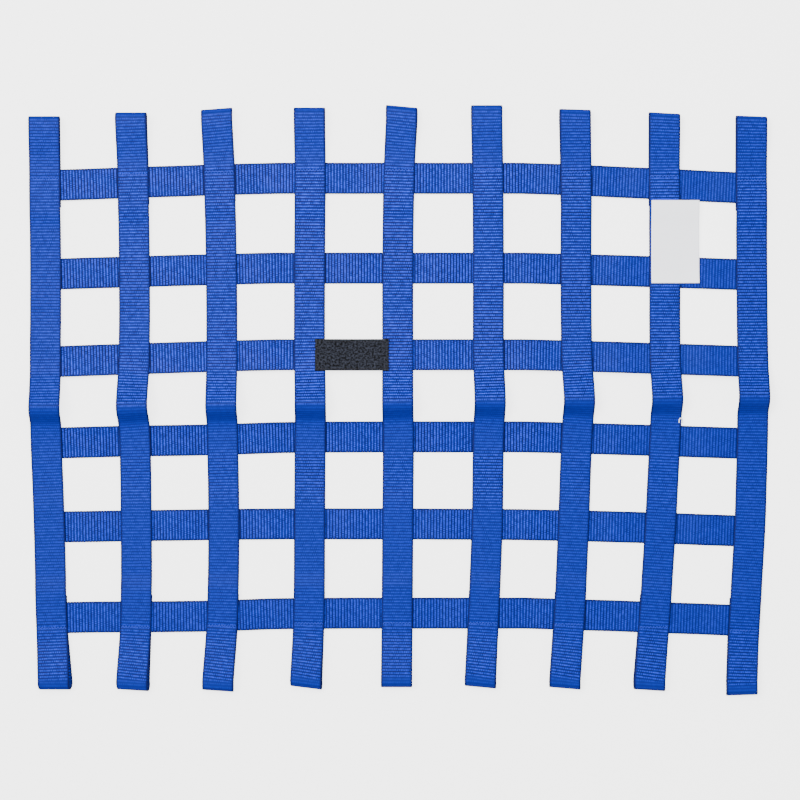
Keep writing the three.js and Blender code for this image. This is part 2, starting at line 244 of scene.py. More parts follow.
def webbing_material():
    """Polyester webbing: blue floats with a painted highlight, gaps painted dark as shade, and a
    navy edge.
    """
    made, tree, output = new_material("polyester_webbing")
    woven = add_node(tree, "ShaderNodeAttribute", attribute_name="weave").outputs["Vector"]
    # How far the ribs are flattened and their painted highlight dimmed
    flat_and_shaded = add_node(tree, "ShaderNodeAttribute", attribute_name="flat_and_shaded").outputs["Fac"]
    height, painted_shine = webbing_floats(tree, woven, flat_and_shaded)
    # The crown's blue, brightened or dimmed by the painted highlight
    satin = add_node(
        tree, "ShaderNodeVectorMath", {0: linear("#2147ff")[:3], "Scale": painted_shine}, operation="SCALE"
    )
    # Painted shade in the gaps, and the crown's blue with its painted highlight on the floats
    painted_weave_light = add_node(
        tree,
        "ShaderNodeMix",
        {"Factor": height, "A": linear("#02083c"), "B": satin.outputs[0]},
        data_type="RGBA",
    )
    # The woven edge, and the sealed end of a cut strap
    parts = add_node(tree, "ShaderNodeSeparateXYZ", {"Vector": woven})
    across = add_node(tree, "ShaderNodeMath", {0: parts.outputs["X"]}, operation="ABSOLUTE")
    edge = add_node(
        tree,
        "ShaderNodeMapRange",
        {"Value": across.outputs[0], "From Min": 10.8 * MM, "From Max": 12.4 * MM},
    )
    cut = add_node(
        tree,
        "ShaderNodeMapRange",
        {
            "Value": parts.outputs["Z"],
            "From Min": 0.5 * MM,
            "From Max": 1.4 * MM,
            "To Min": 1,
            "To Max": 0,
        },
    )
    dark = add_node(
        tree,
        "ShaderNodeMath",
        {0: edge.outputs["Result"], 1: cut.outputs["Result"]},
        operation="MAXIMUM",
    )
    colour = add_node(
        tree,
        "ShaderNodeMix",
        {"Factor": dark.outputs[0], "A": painted_weave_light.outputs["Result"], "B": linear("#071258")},
        data_type="RGBA",
    )
    # Filaments run along the strap inside each float
    stretched = add_node(
        tree, "ShaderNodeVectorMath", {0: woven, 1: (1, 0.22, 1)}, operation="MULTIPLY"
    )
    filaments = add_node(
        tree,
        "ShaderNodeTexNoise",
        {"Vector": stretched.outputs[0], "Scale": FILAMENT_SCALE, "Detail": 2},
    )
    fine = add_node(
        tree,
        "ShaderNodeBump",
        {"Height": filaments.outputs["Fac"], "Distance": 0.08 * MM, "Strength": 0.6},
    )
    relief = add_node(
        tree,
        "ShaderNodeBump",
        {
            "Height": height,
            "Distance": 0.25 * MM,
            "Strength": 0.9,
            "Normal": fine.outputs["Normal"],
        },
    )
    cloth = add_node(
        tree,
        "ShaderNodeBsdfPrincipled",
        {
            "Base Color": colour.outputs["Result"],
            "Roughness": 0.5,
            "IOR": 1.57,
            "Specular IOR Level": 0.1,
            "Normal": relief.outputs["Normal"],
        },
    )
    tree.links.new(cloth.outputs["BSDF"], output.inputs["Surface"])
    return made


WEBBING = webbing_material()
print(f"{WEBBING.name}: {len(WEBBING.node_tree.nodes)} nodes")

# %% [markdown]
# ## Where the straps run
# A net that has been folded and unfolded is never quite square. Each upright strap wanders a
# few millimetres, the cross straps droop towards both sides, and the ridge of the crease
# spreads the outer straps. These tables hold that unevenness, and every piece of the net is
# worked out from them.

# %% The course of every strap
OFFSET_X, OFFSET_Y = 1.46 * MM, -0.13 * MM  # from the point that the tables count from

# Rows of sections from the bottom of the net up, with the X of the nine upright straps
SECTION_Y = MM * np.array([-230, -176, -102, -32, -2, 38, 109, 182, 230])
SECTION_X = MM * np.array(
    [
        [-284.3, -220, -149.5, -77.5, -3, 65.5, 135, 204.5, 280.1],
        [-286.5, -217, -146, -75, -2.5, 68.5, 139, 209, 283],
        [-288.5, -217, -145, -74.5, -2, 71.5, 142.5, 214, 287.5],
        [-291, -218, -146, -74, -1.5, 72.5, 145, 217.5, 289.5],
        [-291, -219.5, -146.5, -73.5, -2, 73.5, 146.5, 218.5, 289.5],
        [-291.5, -218.5, -146.5, -74.5, -2, 72.5, 145, 217.5, 289.5],
        [-291.5, -218.5, -147, -74.5, -2, 72.5, 144.5, 217.5, 289],
        [-292, -219.5, -148.5, -74, -1, 72, 144.5, 217, 288.5],
        [-292, -221, -150.5, -74.5, 1, 71, 143.5, 216.7, 288],
    ]
)
STRAPS = range(SECTION_X.shape[1])

# The cross straps from the top down: the Y of the middle, how far both ends have dropped,
# the X and depth of a shallow dip, and how many plies lie under an upright strap there
ROW_Y = MM * np.array([182.6, 108.8, 37.5, -30, -101.6, -174.9])
ROW_LEFT_DROP = MM * np.array([5.2, 4.4, 5.1, 4.6, 2.3, 3.4])
ROW_RIGHT_DROP = MM * np.array([7.3, 4.9, 5, 4.9, 5.4, 5.6])
ROW_DIP_X = MM * np.array([0, 0, 0, -150, 105, -165])
ROW_DIP = MM * np.array([0, 0, 0, 1.1, 0.6, 1.4])
ROW_PLIES = np.array([2, 1, 1, 1, 1, 2])
ROWS = range(len(ROW_Y))
LEVEL_REACH = 100 * MM
DROP_REACH = 267 * MM
DROP_POWER = 1.15
DIP_REACH = 65 * MM


def smooth_through(places, values, at):
    """A cubic between each two places. Its slope at a place is that of the straight line
    between the neighbours of that place, and it stays level past both ends."""
    places, values = np.asarray(places, float), np.asarray(values, float)
    before = np.maximum(np.arange(len(places)) - 1, 0)
    after = np.minimum(np.arange(len(places)) + 1, len(places) - 1)
    slopes = (values[after] - values[before]) / (places[after] - places[before])
    i = np.clip(np.searchsorted(places, at) - 1, 0, len(places) - 2)
    step, rise = places[i + 1] - places[i], values[i + 1] - values[i]
    t = np.clip((at - places[i]) / step, 0, 1)
    bends = (slopes[i] * step - rise) * (1 - t) + (rise - slopes[i + 1] * step) * t
    return values[i] + rise * t + t * (1 - t) * bends


def smooth_step(t):
    """Three times the square less twice the cube, between 0 and 1."""
    t = np.clip(t, 0, 1)
    return t * t * (3 - 2 * t)


def ease_through(places, values, at):
    """A smooth step from each place to the next, level at each of them."""
    places, values = np.asarray(places, float), np.asarray(values, float)
    i = np.clip(np.searchsorted(places, at) - 1, 0, len(places) - 2)
    t = smooth_step((at - places[i]) / (places[i + 1] - places[i]))
    return values[i] + (values[i + 1] - values[i]) * t


def course_x(strap, y):
    """The X of an upright strap's centre line at a Y."""
    return smooth_through(SECTION_Y, SECTION_X[:, strap], y)


def row_y(row, x):
    """The Y of a cross strap's centre line: level in the middle, then drooping with the
    distance past LEVEL_REACH to the power of DROP_POWER, less a bell shape for its dip."""
    beyond = np.maximum(0, np.abs(x) - LEVEL_REACH) / (DROP_REACH - LEVEL_REACH)
    drop = np.where(x < 0, ROW_LEFT_DROP[row], ROW_RIGHT_DROP[row])
    dip = ROW_DIP[row] * np.exp(-(((x - ROW_DIP_X[row]) / DIP_REACH) ** 2))
    return ROW_Y[row] - drop * beyond**DROP_POWER - dip


STRAP_X = np.array([[course_x(strap, y) for strap in STRAPS] for y in ROW_Y])
CROSSING_Y = np.array([[row_y(row, STRAP_X[row, strap]) for row in ROWS] for strap in STRAPS])
print(f"{STRAP_X.size} crossings, the straps {np.diff(STRAP_X).mean() / MM:.1f} mm apart")

# %% [markdown]
# ## The height of the cloth
# Cloth on the ground is held up by what lies under it. Where an upright strap crosses a row
# it rests on one ply, and on the first and last row on two, because its own tail comes back
# below. Between the rows it sags. On top of that the crease lifts everything that crosses
# it, with a long slope above its crest and a short steep one below.

# %% Ridge and plies
WEB_THICK = 1.4 * MM
PLY = WEB_THICK + 0.45 * MM
SAG = 0.6 * MM
EASE_START = 2 * MM
TAIL_PAST_ROW = 5 * MM
RIDGE_ALONG = MM * np.array([-50, -38, -26, -17, -12, -8, -4, 0, 4, 14, 30, 60, 100])
RIDGE_HEIGHT = MM * np.array([0, 0.2, 0.7, 1.5, 3, 6.8, 11, 12.6, 12, 7.8, 2.5, 0.9, 0])
CREST_Y = -2 * MM
CREST_TILT = 0.015


def ridge_lift(x, y):
    """How far the ridge lifts a point: its profile, with the crest tilted a little."""
    along = y - CREST_Y - CREST_TILT * x
    return np.maximum(0, smooth_through(RIDGE_ALONG, RIDGE_HEIGHT, along))


def upright_underside(strap, y):
    """The height of an upright strap's underside without the ridge: level over each row,
    and eased through a dip halfway between two rows."""
    places, heights = [], []
    for row in reversed(ROWS):
        here, height = CROSSING_Y[strap][row], ROW_PLIES[row] * PLY
        reach = HALF_WIDTH + EASE_START + (TAIL_PAST_ROW if ROW_PLIES[row] > 1 else 0)
        if places:
            places.append((CROSSING_Y[strap][row + 1] + here) / 2)
            heights.append((heights[-1] + height) / 2 - SAG)
        places += [here - reach, here + reach]
        heights += [height, height]
    return ease_through(places, heights, y)


print(f"the crest is {ridge_lift(0, CREST_Y) / MM:.1f} mm up")

# %% [markdown]
# ## A ribbed strap as a mesh
# A strap is one flat section carried along a path. Its ribs are relief that is big enough to
# see, so they are in the mesh: at each gap between two ribs the section is a little thinner
# and narrower. Four sections to a rib are enough for a rounded rib with smooth shading.
# The short floats across each rib are left to the material.
#
# The path gives, for every section, a centre on the strap's lower face, a direction across
# and a direction through the thickness. All points come from one sum of arrays.

# %% Ribbon builder
STEPS_PER_RIB = 4
RIB_DEPTH = 0.34 * MM
EDGE_BITE = 0.02  # how much narrower the strap is in the gap between two ribs
RIB_ROUNDNESS = 0.6  # the power of the half sine that a rib's profile follows
FLATTENED_AWAY = 0.6  # the share of the ribs' relief that the flattening takes away
RIBS_APART = 300  # more than the longest strap has

# Once round the section: how far across, and which share of the thickness. The points
# crowd towards the rounded edges.
UPPER_RIGHT = np.append(MM * np.array([3, 6, 9]), HALF_WIDTH - MM * np.array([1.3, 0.55, 0.15, 0]))
LOWER_RIGHT = np.append(HALF_WIDTH - MM * np.array([0.25, 1.1]), 6 * MM)
UPPER_SIDE = np.concatenate([-UPPER_RIGHT[::-1], [0], UPPER_RIGHT])
LOWER_SIDE = np.concatenate([LOWER_RIGHT, [0], -LOWER_RIGHT[::-1]])
SECTION_ACROSS = np.concatenate([UPPER_SIDE, LOWER_SIDE])
UPPER_SHARE = np.array([0.5, 0.76, 0.93, 1, 1, 1, 1, 1, 1, 1, 1, 1, 0.93, 0.76, 0.5])
LOWER_SHARE = np.array([0.16, 0, 0, 0, 0, 0, 0.16])
SECTION_SHARE = np.concatenate([UPPER_SHARE, LOWER_SHARE])


def rib_stations(length):
    """Places along a strap, evenly spaced with a whole number of ribs, and the depth of the
    gap at each as a share: one less a power of the half sine over each rib."""
    ribs = round(length / RIB)
    count = np.arange(ribs * STEPS_PER_RIB + 1) / STEPS_PER_RIB
    gap = 1 - np.abs(np.sin(np.pi * count)) ** RIB_ROUNDNESS
    return length * count / ribs, RIB * count, gap


def ribbed_section(gap):
    """The section at each station, pinched towards its middle where there is a gap."""
    pinch = 1 - (2 * RIB_DEPTH / WEB_THICK) * gap[:, None]
    across = SECTION_ACROSS * (1 - EDGE_BITE * gap[:, None])
    return across, WEB_THICK * (0.5 + (SECTION_SHARE - 0.5) * pinch)


def tube_faces(rings, corners):
    """A band of four-sided faces between each two rings, and a face over both ends."""
    ring = np.arange(rings - 1)[:, None] * corners
    here = np.arange(corners)[None, :]
    there = (here + 1) % corners
    bands = np.stack([ring + here, ring + corners + here, ring + corners + there, ring + there], -1)
    first = list(range(corners))
    last = [(rings - 1) * corners + i for i in reversed(range(corners))]
    return bands.reshape(-1, 4).tolist() + [first, last]


def add_piece(name, points, faces, material, weave=None, flat_and_shaded=None, smooth=True):
    """A mesh object at the origin, with its map of the weave where it has one, and how far its ribs
    are flattened and painted duller, with less highlight."""
    mesh = bpy.data.meshes.new(name)
    mesh.from_pydata(np.asarray(points).reshape(-1, 3).tolist(), [], faces)
    mesh.polygons.foreach_set("use_smooth", [smooth] * len(faces))
    mesh.materials.append(material)
    if weave is not None:
        layer = mesh.attributes.new("weave", "FLOAT_VECTOR", "POINT")
        layer.data.foreach_set("vector", np.asarray(weave, np.float32).ravel())
    if flat_and_shaded is not None:
        layer = mesh.attributes.new("flat_and_shaded", "FLOAT", "POINT")
        layer.data.foreach_set("value", np.asarray(flat_and_shaded, np.float32).ravel())
    mesh.update()
    piece = bpy.data.objects.new(name, mesh)
    bpy.context.scene.collection.objects.link(piece)
    return piece


def weave_map(across, woven, strap):
    """For every corner: how far across, how far along the weave, and how far from the
    nearer cut end. Each strap starts a whole number of ribs further on, so that no two
    straps show the same patch of cloth."""
    along = np.broadcast_to(woven[:, None], across.shape)
    to_end = np.minimum(along, woven[-1] - along)
    return np.stack([across, RIBS_APART * RIB * strap + along, to_end], -1)


print(f"{len(SECTION_ACROSS)} corners to a section")

# %% [markdown]
# ## The upright straps
# Every upright strap is one length of webbing. It starts with a tail behind the bottom row,
# turns round the bottom loop, runs up over all six rows, turns round the top loop and ends
# in a tail behind the top row. So its path is made of three kinds of run, put end to end:
# the face, the half circle of a fold, and the plies before and behind it.
#
# A sewn line pulls the face down a little, and that dip is part of the path too.

# %% Path of an upright strap
LOOP_RADIUS = 3.3 * MM  # the inner face of a loop at its fold

# For the top loops (1) and the bottom ones (-1) of all straps: the Y of the outer end, how
# much further up its right side lies than its left, and how far the tail slipped sideways
LOOP_ENDS = {
    1: MM * np.array([233.5, 236.5, 239.5, 240.5, 241.5, 242.5, 239, 236, 233.5]),
    -1: MM * np.array([-237.5, -238, -238.5, -236, -235.5, -235.5, -236.5, -238, -242]),
}
LOOP_SKEWS = {
    1: MM * np.array([0, 0, 2, 0, -2.4, 0, -0.8, -1.4, -1]),
    -1: MM * np.array([0, -1.6, -1.8, -3.2, 0, -2.4, -2.2, -1.6, 0.8]),
}
LOOP_SLIPS = {
    1: MM * np.array([-0.6, 0, -0.5, 0, 0.6, 0, 0, 0.4, 0.6]),
    -1: MM * np.array([2, 1.4, -0.3, 0.8, 0, 0.8, 0.4, 0, 0.9]),
}

SEAM_FROM_EDGE = {1: 6.5 * MM, -1: 5 * MM}  # from the row's outer edge to its sewn line
SEAM_DIP = 0.28 * MM
SEAM_WIDTH = 1.6 * MM
FLAT_AT_FOLD = {1: 9 * MM, -1: 13 * MM}  # how far from a loop's end the ribs fade
FLAT_ABOVE_CREST = 4.5 * MM
FLAT_BELOW_CREST = 22 * MM
FLAT_EASE = 7 * MM
FLAT_MOST = 0.75

# The lower half is painted duller, with less highlight, as the light catches it less: most over the
# last two rows, less between the fourth and fifth, where each strap has its own share, least at the
# loops
DULL_Y = MM * np.array([-200, -172, -98, -72, -50, -34])
DULL_MOST = 0.5
DULL_AT_LOOP = 0.2
DULL_BETWEEN_ROWS = np.array([0.45, 0.34, 0.3, 0.14, 0.25, 0.07, 0.34, 0.34, 0.45])

FLAT_UPPER_HALF = np.array([0.32, 0.12, 0.1, 0, 0, 0, 0.05, 0.1, 0.12])  # for each strap
FLAT_TOP_LOOP = 0.35  # all of a top loop, flattened and painted a little duller
FINE_STEPS = 400


def outer_edge(strap, way):
    """The Y of the outer edge of the first row (way 1) or the last row (way -1)."""
    return CROSSING_Y[strap][0 if way > 0 else -1] + way * HALF_WIDTH


def seam_y(strap, way):
    """The Y of the sewn line over the first or the last row."""
    return outer_edge(strap, way) - way * SEAM_FROM_EDGE[way]


def face_height(strap, y):
    """The height of the lower side of a strap's face: the ridge and the plies below it,
    less a bell-shaped dip at each sewn line."""
    dips = sum(np.exp(-(((y - seam_y(strap, way)) / SEAM_WIDTH) ** 2)) for way in (1, -1))
    lifted = ridge_lift(course_x(strap, y), y) + upright_underside(strap, y)
    return lifted - SEAM_DIP * dips


def face_run(strap):
    """Columns of Y, height, turn, slip and skew up the face."""
    y = np.linspace(outer_edge(strap, -1), outer_edge(strap, 1), 4 * FINE_STEPS)
    z = face_height(strap, y)
    return np.column_stack([y, z, -np.arctan(np.gradient(z, y)), 0 * y, 0 * y])


def loop_run(strap, way):
    """The same columns from a row out to the fold and back to the end of the tail. The
    front ply rises with a smooth step, the fold is half a circle, and the tail is flat."""
    end, skew, slip = (table[way][strap] for table in (LOOP_ENDS, LOOP_SKEWS, LOOP_SLIPS))
    edge = outer_edge(strap, way)
    turn_y = end - way * (WEB_THICK + LOOP_RADIUS)
    low, high = 2 * PLY, WEB_THICK + 2 * LOOP_RADIUS
    t = np.linspace(0, 1, FINE_STEPS)
    slope = (high - low) * 6 * t * (1 - t) / abs(turn_y - edge)
    front_y = edge + (turn_y - edge) * t
    front_z = low + (high - low) * smooth_step(t)
    front = np.column_stack([front_y, front_z, -way * np.arctan(slope), 0 * t, skew * t])
    fold_y = turn_y + way * LOOP_RADIUS * np.sin(np.pi * t)
    fold_z = WEB_THICK + LOOP_RADIUS * (1 + np.cos(np.pi * t))
    fold = np.column_stack([fold_y, fold_z, way * np.pi * t, slip * t, skew + 0 * t])
    tail_y = turn_y + (edge - way * (WEB_WIDTH + TAIL_PAST_ROW) - turn_y) * t
    left = np.clip((tail_y - edge) / (turn_y - edge), 0, 1)
    flat = 0 * t + 1
    tail = np.column_stack([tail_y, WEB_THICK * flat, way * np.pi * flat, slip * left, skew * left])
    return np.concatenate([front[1:], fold[1:], tail[1:]])


def flat_and_shaded_share(strap, y):
    """How far the ribs are flattened and painted duller, with less highlight: most at the outer end
    of both loops and on the steep side of the ridge, which faces away from the light, and partly
    elsewhere, each with a smooth step at its edges. Below the ridge the table of dulling gives it,
    and above it each strap's own share."""
    below = CREST_Y + CREST_TILT * course_x(strap, y) + FLAT_ABOVE_CREST - y
    between_rows = DULL_BETWEEN_ROWS[strap]
    dulling = [DULL_AT_LOOP, DULL_MOST, DULL_MOST, between_rows, between_rows, DULL_MOST]
    dulled = ease_through(DULL_Y, dulling, y)
    crest = dulled + (FLAT_MOST - dulled) * smooth_step((FLAT_BELOW_CREST - below) / FLAT_EASE)
    top_loop_share = FLAT_TOP_LOOP * smooth_step((y - seam_y(strap, 1)) / FLAT_EASE)
    upper = np.maximum(FLAT_UPPER_HALF[strap], top_loop_share)
    share = upper + (crest - upper) * smooth_step(below / FLAT_EASE)
    for way in (1, -1):
        start = LOOP_ENDS[way][strap] - way * FLAT_AT_FOLD[way]
        share = np.maximum(share, FLAT_MOST * smooth_step(way * (y - start) / FLAT_EASE))
    return share


def upright_path(strap):
    """The whole run from the bottom tail to the top tail, evenly stepped along its length,
    with the length, the woven length and the depth of the gap between ribs."""
    run = np.concatenate([loop_run(strap, -1)[::-1], face_run(strap), loop_run(strap, 1)])
    points = np.column_stack([course_x(strap, run[:, 0]) + run[:, 3], run[:, :2]])
    walked = np.append(0, np.cumsum(np.linalg.norm(np.diff(points, axis=0), axis=1)))
    stations, woven, gap = rib_stations(walked[-1])
    stepped = np.column_stack([np.interp(stations, walked, column) for column in run.T])
    return stepped, walked[-1], woven, gap


# %% Make the upright straps
def unit(vectors):
    """Each vector divided by its length."""
    return vectors / np.linalg.norm(vectors, axis=-1, keepdims=True)


def make_upright(strap):
    """Carries the section along the path. Across lies level and square to the strap's
    course, and the thickness points up, turned with the cloth round each fold."""
    stepped, length, woven, gap = upright_path(strap)
    y, z, turn, slip, skew = stepped.T
    lean = (course_x(strap, y + MM) - course_x(strap, y - MM)) / (2 * MM)
    along = unit(np.column_stack([lean, np.ones_like(y), np.zeros_like(y)]))
    across = np.column_stack([along[:, 1], -along[:, 0], np.zeros_like(y)])
    thick = along * np.sin(turn)[:, None] + np.outer(np.cos(turn), (0, 0, 1))
    centre = np.column_stack([course_x(strap, y) + slip + OFFSET_X, y + OFFSET_Y, z])
    # How far the ribs are flattened and painted duller, with less highlight
    flat_and_shaded = flat_and_shaded_share(strap, y)
    out, height = ribbed_section(gap * (1 - FLATTENED_AWAY * flat_and_shaded))
    points = (
        centre[:, None]
        + across[:, None] * out[..., None]
        + thick[:, None] * height[..., None]
        + along[:, None] * (skew[:, None] * out / WEB_WIDTH)[..., None]
    )
    weave = weave_map(out, woven, strap)
    name = f"upright_strap_{strap + 1}"
    faces = tube_faces(len(y), len(SECTION_ACROSS))
    spread = np.broadcast_to(flat_and_shaded[:, None], out.shape)
    return add_piece(name, points, faces, WEBBING, weave, spread), length


uprights = [make_upright(strap) for strap in STRAPS]
for piece, length in uprights:
    print(f"{piece.name}: {length / MM:.0f} mm long, {len(piece.data.vertices)} vertices")

# %% [markdown]
# ## The cross straps
# A cross strap is a straight length that lies on the ground under all nine upright straps.
# The sewing draws it in a little at every crossing, so it arches up slightly between them.
# The first and last row also rise over the tails behind them. Its ends are hidden under the
# outer upright straps.

# %% Make the cross straps
ROW_END_INSET = 1.5 * MM
ARCH = 1.1 * MM
FLAT_FROM, FLAT_TO = 60 * MM, 250 * MM  # the right part of a cross strap, flattened and painted duller, with less highlight
FLAT_ROW_END = 0.45
FLAT_ROWS = np.array([0, 0, 0, 0.06, 0.12, 0.2])  # the lower rows are flattened and painted duller, with less highlight, all along


def crossing_hump(row, x):
    """How far a row is raised without the ridge. The tails lift the first and last row by
    one ply, and every row arches as a squared sine between two upright straps."""
    strap_x = STRAP_X[row]
    middles = (strap_x[1:] + strap_x[:-1]) / 2
    reach = HALF_WIDTH + EASE_START
    tails = np.column_stack([strap_x - reach, strap_x + reach]).ravel()
    places = np.insert(tails, range(2, 2 * len(strap_x), 2), middles)
    lifted = np.insert(np.full(len(tails), PLY), range(2, 2 * len(strap_x), 2), 0)
    nearest = np.abs(x[..., None] - strap_x).min(-1)
    gap_share = np.clip((nearest - HALF_WIDTH) / (np.diff(strap_x).mean() / 2 - HALF_WIDTH), 0, 1)
    inside = (x > strap_x[0]) & (x < strap_x[-1])
    arch = ARCH * inside * np.sin(np.pi / 2 * gap_share) ** 2
    return arch + (ease_through(places, lifted, x) if ROW_PLIES[row] > 1 else 0)


def make_cross(row):
    """Carries the section from left to right. Every corner has the height of the ground
    and the ridge below it, so that the strap bends across its width too."""
    left = STRAP_X[row][0] - HALF_WIDTH + ROW_END_INSET
    right = STRAP_X[row][-1] + HALF_WIDTH - ROW_END_INSET
    fine_x = np.linspace(left, right, 12 * FINE_STEPS)
    fine_y = row_y(row, fine_x)
    fine_z = ridge_lift(fine_x, fine_y) + crossing_hump(row, fine_x)
    steps = np.linalg.norm(np.diff(np.column_stack([fine_x, fine_y, fine_z]), axis=0), axis=1)
    walked = np.append(0, np.cumsum(steps))
    stations, woven, gap = rib_stations(walked[-1])
    x = np.interp(stations, walked, fine_x)
    lean = (row_y(row, x + MM) - row_y(row, x - MM)) / (2 * MM)
    along = unit(np.column_stack([np.ones_like(x), lean]))
    # The right part and the lower rows are flattened and painted duller, with less highlight
    right_part = FLAT_ROW_END * smooth_step((x - FLAT_FROM) / (FLAT_TO - FLAT_FROM))
    flat_and_shaded = np.maximum(right_part, FLAT_ROWS[row])
    out, height = ribbed_section(gap * (1 - FLATTENED_AWAY * flat_and_shaded))
    corner_x = x[:, None] + along[:, 1:] * out
    corner_y = row_y(row, x)[:, None] - along[:, :1] * out
    ground = ridge_lift(corner_x, corner_y) + crossing_hump(row, corner_x)
    points = np.stack([corner_x + OFFSET_X, corner_y + OFFSET_Y, ground + height], -1)
    weave = weave_map(out, woven, len(STRAPS) + row)
    name = f"cross_strap_{row + 1}"
    faces = tube_faces(len(x), len(SECTION_ACROSS))
    spread = np.broadcast_to(flat_and_shaded[:, None], out.shape)
    return add_piece(name, points, faces, WEBBING, weave, spread), walked[-1]


crosses = [make_cross(row) for row in ROWS]
for piece, length in crosses:
    print(f"{piece.name}: {length / MM:.0f} mm long, {len(piece.data.vertices)} vertices")

# %% [markdown]
# ## The labels
# Two labels are sewn on after the net is made. The black one is damask, woven flat from fine
# polyester thread, and bridges two upright straps. The white one is a printed care label of
# satin ribbon, whose free side curls up a little. Both are left bare here.
#
# A label is a thin sheet, worked out as a height over a grid of points. It gets its
# thickness from a Solidify modifier, so that only one side has to be worked out.

# %% Label materials
SPECK_SCALE = 620  # in a metre, which is one every 1.6 mm
SATIN_SCALE = 2600  # in a metre; real satin threads are finer and wouldn't show
# The colour of the painted glow on white satin and thread
PAINTED_GLOW_WHITE = "#f4f6ff"


def black_label_material():
    """Damask-woven polyester: a dull charcoal with fine weft lines and fuzzy specks."""
    made, tree, output = new_material("woven_label")
    place = add_node(tree, "ShaderNodeAttribute", attribute_name="weave").outputs["Vector"]
    lines = add_node(
        tree,
        "ShaderNodeTexBrick",
        {
            "Vector": place,
            "Color1": linear("#1d1f27"),
            "Color2": linear("#262933"),
            "Mortar": linear("#0c0d11"),
            "Scale": 1,
            "Mortar Size": 0.07 * MM,
            "Mortar Smooth": 1.0,
            "Brick Width": 0.9 * MM,
            "Row Height": 0.45 * MM,
        },
        offset=0.5,
    )
    specks = add_node(
        tree, "ShaderNodeTexNoise", {"Vector": place, "Scale": SPECK_SCALE, "Detail": 2}
    )
    spread = add_node(
        tree,
        "ShaderNodeMapRange",
        {"Value": specks.outputs["Fac"], "From Min": 0.36, "From Max": 0.64, "To Max": 2.9},
    )
    colour = add_node(
        tree,
        "ShaderNodeVectorMath",
        {0: lines.outputs["Color"], "Scale": spread.outputs["Result"]},
        operation="SCALE",
    )
    relief = add_node(
        tree,
        "ShaderNodeBump",
        {"Height": lines.outputs["Fac"], "Distance": 0.1 * MM, "Strength": 0.7},
        invert=True,
    )
    cloth = add_node(
        tree,
        "ShaderNodeBsdfPrincipled",
        {
            "Base Color": colour.outputs[0],
            "Roughness": 0.8,
            "IOR": 1.57,
            "Specular IOR Level": 0.15,
            "Normal": relief.outputs["Normal"],
        },
    )
    tree.links.new(cloth.outputs["BSDF"], output.inputs["Surface"])
    return made


def white_label_material():
    """Satin ribbon: smooth white floats with a soft gloss and faint threads. It is given a painted
    glow that brightens it."""
    made, tree, output = new_material("satin_label")
    place = add_node(tree, "ShaderNodeAttribute", attribute_name="weave").outputs["Vector"]
    stretched = add_node(
        tree, "ShaderNodeVectorMath", {0: place, 1: (1, 0.1, 1)}, operation="MULTIPLY"
    )
    threads = add_node(
        tree,
        "ShaderNodeTexNoise",
        {"Vector": stretched.outputs[0], "Scale": SATIN_SCALE, "Detail": 2},
    )
    colour = add_node(
        tree,
        "ShaderNodeMix",
        {"Factor": threads.outputs["Fac"], "A": linear("#eff1f8"), "B": linear("#fcfcfe")},
        data_type="RGBA",
    )
    relief = add_node(
        tree,
        "ShaderNodeBump",
        {"Height": threads.outputs["Fac"], "Distance": 0.05 * MM, "Strength": 0.5},
    )
    cloth = add_node(
        tree,
        "ShaderNodeBsdfPrincipled",
        {
            "Base Color": colour.outputs["Result"],
            "Roughness": 0.4,
            "IOR": 1.57,
            # A painted glow that brightens the label
            "Emission Color": linear(PAINTED_GLOW_WHITE),
            "Emission Strength": 1.2,
            "Normal": relief.outputs["Normal"],
        },
    )
    tree.links.new(cloth.outputs["BSDF"], output.inputs["Surface"])
    return made


# %% Make the labels
LABEL_THICK = 0.5 * MM
LABEL_LIFT = WEB_THICK + 0.6 * MM  # from the underside of a strap to that of its label
BLACK_LABEL = {"left": -70 * MM, "right": -9.3 * MM, "top": 50.4 * MM, "bottom": 24.4 * MM}
WHITE_LABEL = {"left": 206.3 * MM, "right": 245.5 * MM, "top": 164.3 * MM, "bottom": 96.3 * MM}
BLACK_LABEL_STRAPS = (3, 4)  # counted from 0, as in the tables
WHITE_LABEL_STRAP = 7
LABEL_CELL = 1 * MM
LABEL_DIP = 1.5 * MM
LABEL_CURL = 1.6 * MM
LABEL_FLARE = 1.3 * MM  # how far its lower edge stands up besides
FLARE_REACH = 9 * MM


def grid_faces(rows, columns):
    """Four-sided faces over a grid, facing up when rows run up and columns to the right."""
    corner = np.arange(rows - 1)[:, None] * columns + np.arange(columns - 1)[None, :]
    around = np.stack([corner, corner + 1, corner + columns + 1, corner + columns], -1)
    return around.reshape(-1, 4).tolist()


def make_label(name, edges, height, material):
    """A grid over the label's outline, with its height as a function of X and Y."""
    columns = round((edges["right"] - edges["left"]) / LABEL_CELL) + 1
    rows = round((edges["top"] - edges["bottom"]) / LABEL_CELL) + 1
    x, y = np.meshgrid(
        np.linspace(edges["left"], edges["right"], columns),
        np.linspace(edges["bottom"], edges["top"], rows),
    )
    points = np.stack([x + OFFSET_X, y + OFFSET_Y, height(x, y)], -1)
    weave = np.stack([x - edges["left"], y - edges["bottom"], 0 * x], -1)
    piece = add_piece(name, points, grid_faces(rows, columns), material, weave)
    wall = piece.modifiers.new("thickness", "SOLIDIFY")
    wall.thickness = LABEL_THICK
    wall.offset = 1
    return piece


def black_label_height(x, y):
    """The top of the two straps under it, with an eased dip between them."""
    middle = (BLACK_LABEL["top"] + BLACK_LABEL["bottom"]) / 2
    edge = HALF_WIDTH + EASE_START / 2
    left = course_x(BLACK_LABEL_STRAPS[0], middle) + edge
    right = course_x(BLACK_LABEL_STRAPS[1], middle) - edge
    places = [BLACK_LABEL["left"], left, (left + right) / 2, right, BLACK_LABEL["right"]]
    dip = ease_through(places, [0, 0, -LABEL_DIP, 0, 0], x)
    return ridge_lift(x, y) + PLY + LABEL_LIFT + dip


